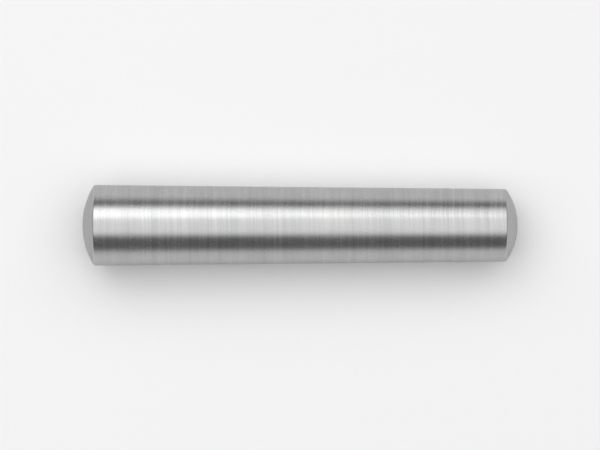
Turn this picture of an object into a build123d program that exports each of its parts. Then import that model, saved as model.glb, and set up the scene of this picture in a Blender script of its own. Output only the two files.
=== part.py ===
from build123d import *
import os

# A taper pin: one piece of bright steel, turned from bar and ground. It is driven into a reamed
# hole of the same taper to fix a hub, lever or collar to its shaft, and is knocked out again by
# its small end. The shank narrows evenly from the large end to the small end, and both ends are
# domed, so that hammer blows land on the middle and never burr the edge that goes in the hole.
#
# Frame, in millimetres: X is the pin's axis, with the large end towards -X and the small end
# towards +X. The origin is on the axis, in the plane of the small end's edge. That is the gauge
# plane, where the pin's nominal diameter is measured.

# Driving dimensions
small_end_diameter = 5.0  # nominal size, at the small end's edge before it is broken
overall_length = 30.0  # from the top of one dome to the top of the other
taper_ratio = 50.0  # the shank widens by 1 mm in diameter over each 50 mm of its length
dome_height = 0.8  # from the plane of an end's edge to the top of its dome
edge_break = 0.15  # radius that rounds the edge between the shank and each dome

# The shank between the two edges
shank_length = overall_length - 2 * dome_height
large_end_diameter = small_end_diameter + shank_length / taper_ratio


def dome_radius(edge_diameter):
    """The sphere that spans an end's edge and rises above it by the dome's height."""
    return edge_diameter**2 / (8 * dome_height) + dome_height / 2


def half_section():
    """The pin cut along its axis: dome, sloping shank and dome, closed along the axis itself."""
    large_tip = (-shank_length - dome_height, 0)
    large_edge = (-shank_length, large_end_diameter / 2)
    small_edge = (0, small_end_diameter / 2)
    small_tip = (dome_height, 0)
    outline = [
        RadiusArc(large_tip, large_edge, dome_radius(large_end_diameter)),
        Line(large_edge, small_edge),
        RadiusArc(small_edge, small_tip, dome_radius(small_end_diameter)),
        Line(small_tip, large_tip),
    ]
    return make_face(outline)


def broken_edges(section):
    """The section with its corners off the axis rounded, as tumbling leaves the pin's edges."""
    edge_corners = section.vertices().sort_by(Axis.Y)[-2:]
    return fillet(edge_corners, edge_break)


def taper_pin():
    """The whole pin, turned about its axis."""
    return revolve(broken_edges(half_section()), Axis.X)


os.makedirs("parts", exist_ok=True)
export_step(taper_pin(), "parts/taper_pin.step")
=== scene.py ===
import bpy
import numpy as np
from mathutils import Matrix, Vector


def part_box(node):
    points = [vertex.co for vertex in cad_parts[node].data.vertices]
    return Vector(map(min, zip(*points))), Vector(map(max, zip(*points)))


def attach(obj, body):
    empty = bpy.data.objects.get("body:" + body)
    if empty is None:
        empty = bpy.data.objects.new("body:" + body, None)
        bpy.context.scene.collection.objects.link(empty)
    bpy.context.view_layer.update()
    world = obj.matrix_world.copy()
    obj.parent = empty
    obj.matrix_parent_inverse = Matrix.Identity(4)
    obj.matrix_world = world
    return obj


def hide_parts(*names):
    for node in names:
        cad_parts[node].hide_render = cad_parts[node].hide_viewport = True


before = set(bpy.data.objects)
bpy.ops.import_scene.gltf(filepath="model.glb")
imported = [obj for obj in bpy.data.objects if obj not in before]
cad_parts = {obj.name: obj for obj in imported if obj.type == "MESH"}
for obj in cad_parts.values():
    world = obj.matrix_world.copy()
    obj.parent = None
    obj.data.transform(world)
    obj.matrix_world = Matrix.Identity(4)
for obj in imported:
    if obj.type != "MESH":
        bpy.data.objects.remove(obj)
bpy.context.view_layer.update()  # in metres: +X runs along the pin's axis towards its small end, and +Z is up


# The pin. One piece of bright steel bar, turned to its taper and domed at both ends. Nothing is fitted
# to it: driven into a reamed hole, it holds by its taper alone. The edges round the domes are broken,
# so that they neither cut a hand nor burr under a hammer.
scene = bpy.context.scene
mm = 0.001
large_tip_x, small_tip_x = (corner.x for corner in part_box("taper_pin"))
small_end_diameter = 5.0 * mm
taper_ratio = 50.0
dome_height = 0.8 * mm
edge_radius = 0.15 * mm
shank_length = small_tip_x - large_tip_x - 2 * dome_height
large_end_diameter = small_end_diameter + shank_length / taper_ratio
dome_points, edge_points, shank_points, round_points = 30, 16, 80, 288


def arc(centre, radius, first_angle, last_angle, points):
    """Points (x, r) of an arc: its centre plus its radius times the cosine and sine of even angles."""
    angle = np.linspace(first_angle, last_angle, points)
    return centre + radius * np.stack([np.cos(angle), np.sin(angle)], axis=1)


def domed_end(tip_x, edge_diameter, facing):
    """The outline (x, r) of one end, from its tip to the shank. It faces +X where facing is 1, -X for -1.

    The dome is the sphere that spans the edge and rises by the dome's height. The arc that breaks the
    edge touches the shank's line and the sphere from inside, so its centre lies one edge radius inside
    both. Seen from the dome's centre, that is a known distance out towards the shank's line, and by
    Pythagoras the rest along it.
    """
    dome_radius = edge_diameter**2 / (8 * dome_height) + dome_height / 2
    dome_centre = np.array([tip_x - facing * dome_radius, 0.0])
    edge = np.array([tip_x - facing * dome_height, edge_diameter / 2])
    shank_angle = np.pi / 2 - np.arctan(0.5 / taper_ratio)
    outward = np.array([np.cos(shank_angle), np.sin(shank_angle)])
    endward = facing * np.array([outward[1], -outward[0]])
    out = (edge - dome_centre) @ outward - edge_radius
    along = np.sqrt((dome_radius - edge_radius) ** 2 - out**2)
    to_edge_centre = out * outward + along * endward
    tip_angle = 0.0 if facing > 0 else np.pi
    join_angle = np.arctan2(to_edge_centre[1], to_edge_centre[0])
    dome = arc(dome_centre, dome_radius, tip_angle, join_angle, dome_points)
    broken_edge = arc(dome_centre + to_edge_centre, edge_radius, join_angle, shank_angle, edge_points)
    return np.concatenate([dome, broken_edge[1:]])


def turned(profile, steps):
    """Vertices, faces and turns of an outline (x, r) turned about X, from straight below and back.

    Its points are (x, r cos a, r sin a) for even angles a. A face corner's turn is the share of a whole
    turn at which it lies. The outline starts and ends on the axis. Each of those tips is one vertex,
    with a fan of triangles to the ring beside it, and a ring's last vertex joins its first.
    """
    angle = np.linspace(-0.5, 1.5, steps, endpoint=False) * np.pi
    x, r = profile[1:-1].T
    y, z = np.outer(r, np.cos(angle)), np.outer(r, np.sin(angle))
    rings = np.stack([np.broadcast_to(x[:, None], y.shape), y, z], axis=2)
    tips = [[profile[0, 0], 0, 0], [profile[-1, 0], 0, 0]]
    vertices = np.concatenate([rings.reshape(-1, 3), tips])
    number = np.arange(len(x) * steps).reshape(len(x), steps)
    beside = np.roll(number, -1, axis=1)
    quads = np.stack([number[:-1], beside[:-1], beside[1:], number[1:]], axis=2).reshape(-1, 4)
    tip = np.full(steps, number.size)
    first_fan = np.stack([tip, beside[0], number[0]], axis=1)
    last_fan = np.stack([number[-1], beside[-1], tip + 1], axis=1)
    faces = quads.tolist() + first_fan.tolist() + last_fan.tolist()
    step = np.arange(steps)
    quad_steps = np.tile(np.stack([step, step + 1, step + 1, step], axis=1).ravel(), len(x) - 1)
    first_fan_steps = np.stack([step + 0.5, step + 1, step], axis=1).ravel()
    last_fan_steps = np.stack([step, step + 1, step + 0.5], axis=1).ravel()
    turns = np.concatenate([quad_steps, first_fan_steps, last_fan_steps]) / steps
    return vertices, faces, turns


large_end = domed_end(large_tip_x, large_end_diameter, -1)
small_end = domed_end(small_tip_x, small_end_diameter, 1)[::-1]
shank = np.linspace(large_end[-1], small_end[0], shank_points)[1:-1]
outline = np.concatenate([large_end, shank, small_end])
vertices, faces, turns = turned(outline, round_points)
mesh = bpy.data.meshes.new("steel_pin")
mesh.from_pydata(vertices.tolist(), [], faces)
mesh.polygons.foreach_set("use_smooth", np.ones(len(faces), bool))
pin = bpy.data.objects.new("steel_pin", mesh)
scene.collection.objects.link(pin)


# Its finish. The shank is ground, which leaves fine short marks round and round it. The domes keep
# the rings of the turning tool. Tumbling has burnished the broken edges, and has left faint stray
# scratches. A thin film of oil makes the gloss a little uneven.
def mark(name, domain, values):
    """Gives the mesh an attribute for the finish to read, with a value at each vertex or face corner."""
    mesh.attributes.new(name, "FLOAT", domain).data.foreach_set("value", values.astype(np.float32))


def on_vertices(values):
    """Values at the outline's points, given to the vertices that those points are turned into."""
    return np.concatenate([np.repeat(values[1:-1], round_points), values[[0, -1]]])


spans = np.diff(outline, axis=0)
run = np.concatenate([[0], np.cumsum(np.hypot(spans[:, 0], spans[:, 1]))])  # from the large end's tip
steepness = np.abs(np.gradient(outline[:, 1], run))
shank_steepness, dome_steepness = 0.02, 0.77  # the shank is less steep, and the domes are steeper
middle_girth = np.pi * (small_end_diameter + large_end_diameter) / 2
mark("run", "POINT", on_vertices(run / mm))
mark("around", "CORNER", turns * middle_girth / mm)
mark("dome", "POINT", on_vertices(np.interp(steepness, [shank_steepness, dome_steepness], [0, 1])))


class Wire:
    """A shader node's output. Arithmetic on it adds Math nodes, so a formula reads as it is written."""

    def __init__(self, output):
        self.output = output

    @staticmethod
    def node(tree, kind, settings, sockets, output=0):
        """Adds a node, sets its settings and then its sockets' values or links, and gives one output."""
        node = tree.nodes.new(kind)
        for name, value in settings.items():
            setattr(node, name, value)
        for name, value in sockets.items():
            if isinstance(value, Wire):
                tree.links.new(value.output, node.inputs[name])
            else:
                node.inputs[name].default_value = value
        return Wire(node.outputs[output])

    def math(self, operation, first, second):
        """Adds a Math node to this output's tree, for an operation on two outputs or numbers."""
        tree = self.output.id_data
        return Wire.node(tree, "ShaderNodeMath", {"operation": operation}, {0: first, 1: second})

    def __add__(self, other):
        return self.math("ADD", self, other)

    def __sub__(self, other):
        return self.math("SUBTRACT", self, other)

    def __rsub__(self, other):
        return self.math("SUBTRACT", other, self)

    def __mul__(self, other):
        return self.math("MULTIPLY", self, other)

    def __truediv__(self, other):
        return self.math("DIVIDE", self, other)

    __radd__ = __add__
    __rmul__ = __mul__


def part(vector, axis):
    """The X, Y or Z of a vector."""
    return Wire.node(vector.output.id_data, "ShaderNodeSeparateXYZ", {}, {"Vector": vector}, axis)


def rise(value, low, high):
    """0 below low and 1 above high, with a smooth rise between."""
    tree = value.output.id_data
    sockets = {"Value": value, "From Min": low, "From Max": high}
    return Wire.node(tree, "ShaderNodeMapRange", {"interpolation_type": "SMOOTHSTEP"}, sockets)


material = bpy.data.materials.new("ground_steel")
material.use_nodes = True
steel = material.node_tree
place = Wire.node(steel, "ShaderNodeTexCoord", {}, {}, "Object")
along_pin = Wire.node(steel, "ShaderNodeAttribute", {"attribute_name": "run"}, {}, "Fac")
around_pin = Wire.node(steel, "ShaderNodeAttribute", {"attribute_name": "around"}, {}, "Fac")
on_dome = Wire.node(steel, "ShaderNodeAttribute", {"attribute_name": "dome"}, {}, "Fac")
on_edge = 4 * on_dome * (1 - on_dome)  # 1 half-way over a broken edge, and 0 on the shank and the domes


def noise(vector, scale, detail):
    """Smooth noise about 0, with cells as long as one over the scale."""
    sockets = {"Vector": vector, "Scale": scale, "Detail": detail}
    return Wire.node(steel, "ShaderNodeTexNoise", {}, sockets) - 0.5


def grinding(pitch, length, detail):
    """Marks round the pin: noise with cells a pitch wide along the outline and a length long across
    the axis, both in millimetres."""
    y = part(place, "Y") / (length * mm)
    z = part(place, "Z") / (length * mm)
    cells = Wire.node(steel, "ShaderNodeCombineXYZ", {}, {"X": along_pin / pitch, "Y": y, "Z": z})
    return noise(cells, 1.0, detail)


def stray_scratches(turn, length, width):
    """1 in thin straight scratches on the shank, and 0 elsewhere: the highest parts of a noise that is
    stretched along one direction of the unrolled surface. The sizes are in millimetres, the turn in
    radians."""
    scratch_starts, scratch_full = 0.22, 0.27
    unrolled = Wire.node(steel, "ShaderNodeCombineXYZ", {}, {"X": along_pin, "Y": around_pin})
    sockets = {"Vector": unrolled, "Rotation": (0, 0, turn), "Scale": (length, width, 1)}
    stretched = Wire.node(steel, "ShaderNodeMapping", {"vector_type": "TEXTURE"}, sockets)
    return rise(noise(stretched, 1.0, 0.0), scratch_starts, scratch_full) * (1 - on_dome)


fine_marks = grinding(pitch=0.14, length=5.0, detail=1.0)
coarse_marks = grinding(pitch=0.5, length=12.0, detail=1.0)
bands = grinding(pitch=2.2, length=40.0, detail=2.0)
from_tip = Wire.node(steel, "ShaderNodeCombineXYZ", {}, {"X": along_pin})
tool_rings = noise(from_tip, scale=6.0, detail=1.0)
film = noise(place, scale=0.23 / mm, detail=3.0)
long_scratches = stray_scratches(turn=0.25, length=2.2, width=0.06)
short_scratches = stray_scratches(turn=-0.9, length=1.4, width=0.05)
scratches = long_scratches + short_scratches

ground_roughness, turned_roughness, burnished_roughness = 0.25, 0.31, 0.20
less_ground = (turned_roughness - ground_roughness) * on_dome
burnishing = (ground_roughness - burnished_roughness) * on_edge
unevenness = film * 0.10 + fine_marks * 0.10 + scratches * 0.06
roughness = ground_roughness + less_ground - burnishing + unevenness

darker_steel, lighter_steel = (0.375, 0.38, 0.385, 1), (0.53, 0.528, 0.52, 1)
shank_tone = fine_marks * 0.9 + coarse_marks * 0.6 + bands * 0.5
dome_tone = tool_rings * 0.8 - 0.12
lightness = 0.5 + shank_tone + dome_tone * on_dome + on_edge * 0.3 + film * 0.2
first_colour, second_colour, mixed_colour = 6, 7, 2  # the Mix node's numbers for its colour sockets
mixing = {"Factor": lightness, first_colour: darker_steel, second_colour: lighter_steel}
colour = Wire.node(steel, "ShaderNodeMix", {"data_type": "RGBA"}, mixing, mixed_colour)

micron = 0.001 * mm
shank_microns = fine_marks * 7.0 + coarse_marks * 5.0 + bands * 3.0 - scratches * 0.6
dome_microns = tool_rings * 9.0 + fine_marks * 1.0
microns = shank_microns * (1 - on_dome) + dome_microns * on_dome
relief = Wire.node(steel, "ShaderNodeBump", {}, {"Distance": micron, "Strength": 1.0, "Height": microns})

grazing_tint = 0.8  # steel mirrors less than a perfect metal where it is seen almost edge on
shader = steel.nodes["Principled BSDF"]
shader.inputs["Metallic"].default_value = 1.0
shader.inputs["Specular Tint"].default_value = (grazing_tint, grazing_tint, grazing_tint, 1)
steel.links.new(colour.output, shader.inputs["Base Color"])
steel.links.new(roughness.output, shader.inputs["Roughness"])
steel.links.new(relief.output, shader.inputs["Normal"])
mesh.materials.append(material)
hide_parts("taper_pin")
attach(pin, "root")


# The table. Plain, matt and nearly white. The pin lies on its side and touches it all along the
# shank, so the table slopes under it by half the taper.
table_reach = 3000 * mm
table_white = 0.95
x = np.array([-1, 1, 1, -1]) * table_reach
y = np.array([-1, -1, 1, 1]) * table_reach
z = x * 0.5 / taper_ratio - small_end_diameter / 2
table_mesh = bpy.data.meshes.new("table")
table_mesh.from_pydata(np.stack([x, y, z], axis=1).tolist(), [], [(0, 1, 2, 3)])
table = bpy.data.objects.new("table", table_mesh)
scene.collection.objects.link(table)
table_material = bpy.data.materials.new("matt_white")
table_material.use_nodes = True
table_shader = table_material.node_tree.nodes["Principled BSDF"]
table_shader.inputs["Base Color"].default_value = (table_white, table_white, table_white, 1)
table_shader.inputs["Roughness"].default_value = 1.0
table_shader.inputs["Specular IOR Level"].default_value = 0.0
table_mesh.materials.append(table_material)


# The tent. White cloth all round the table: a wide bright ceiling that runs along the pin and leans
# a little to the back, dim walls, and a foot that pales to the white of the table where they meet.
world = bpy.data.worlds.new("tent")
scene.world = world
world.use_nodes = True
tent = world.node_tree
toward = Wire.node(tent, "ShaderNodeTexCoord", {}, {}, "Generated")
wall_glow, ceiling_glow, foot_glow = 0.16, 1.21, 0.665
ceiling_lean = 0.24  # in radians, as the two leans below it are
bright_lean, dim_lean = 0.5, 0.92
bright_reach, dim_reach = 0.6, 0.9  # how much of the way to a point lies along X
foot_top = 0.4  # how much of the way to the foot's upper rim lies upwards
reach = part(toward, "X")
up = part(toward, "Z")
lean = up.math("ARCTAN2", part(toward, "Y"), up) - ceiling_lean
across_ceiling = 1 - rise(lean * lean, bright_lean**2, dim_lean**2)
along_ceiling = 1 - rise(reach * reach, bright_reach**2, dim_reach**2)
foot = 1 - rise(up, 0.0, foot_top)
glow = wall_glow + ceiling_glow * across_ceiling * along_ceiling + foot_glow * foot
background = tent.nodes["Background"]
background.inputs["Color"].default_value = (1, 1, 1, 1)
tent.links.new(glow.output, background.inputs["Strength"])


# The softbox. A lamp behind white cloth, hung near the pin, behind it and over its large end. So the
# pin's highlight fades towards the small end, and its shadow falls to the front.
softbox_glow = 1.05
softbox_length, softbox_width = 130 * mm, 90 * mm
softbox_place = (-60 * mm, 90 * mm, 150 * mm)
softbox_lamp = bpy.data.lights.new("softbox", "AREA")
softbox_lamp.shape = "RECTANGLE"
softbox_lamp.size = softbox_length
softbox_lamp.size_y = softbox_width
softbox_lamp.energy = softbox_glow * np.pi * softbox_length * softbox_width
softbox = bpy.data.objects.new("softbox", softbox_lamp)
scene.collection.objects.link(softbox)
softbox.location = softbox_place
softbox.rotation_euler = (-softbox.location).to_track_quat("-Z", "Y").to_euler()
softbox.visible_camera = False


# The camera. It looks straight down on the pin through a long lens, so that the pin's outline lies as
# in the picture, where it spans these pixels of a frame that is 600 wide and 450 high.
drawn_large_tip, drawn_small_tip, drawn_axis = 82.0, 517.1, 224.8
frame_width, middle_column, middle_row = 600, 299.5, 224.5
pixel = (small_tip_x - large_tip_x) / (drawn_small_tip - drawn_large_tip)
lens = bpy.data.cameras.new("camera")
lens.lens = 400.0
lens.sensor_width = 36.0
lens.clip_start = 0.01
camera = bpy.data.objects.new("camera", lens)
scene.collection.objects.link(camera)
camera.location.x = large_tip_x + (middle_column - drawn_large_tip) * pixel
camera.location.y = (drawn_axis - middle_row) * pixel
camera.location.z = frame_width * pixel * lens.lens / lens.sensor_width
scene.camera = camera
scene.view_settings.view_transform = "Standard"
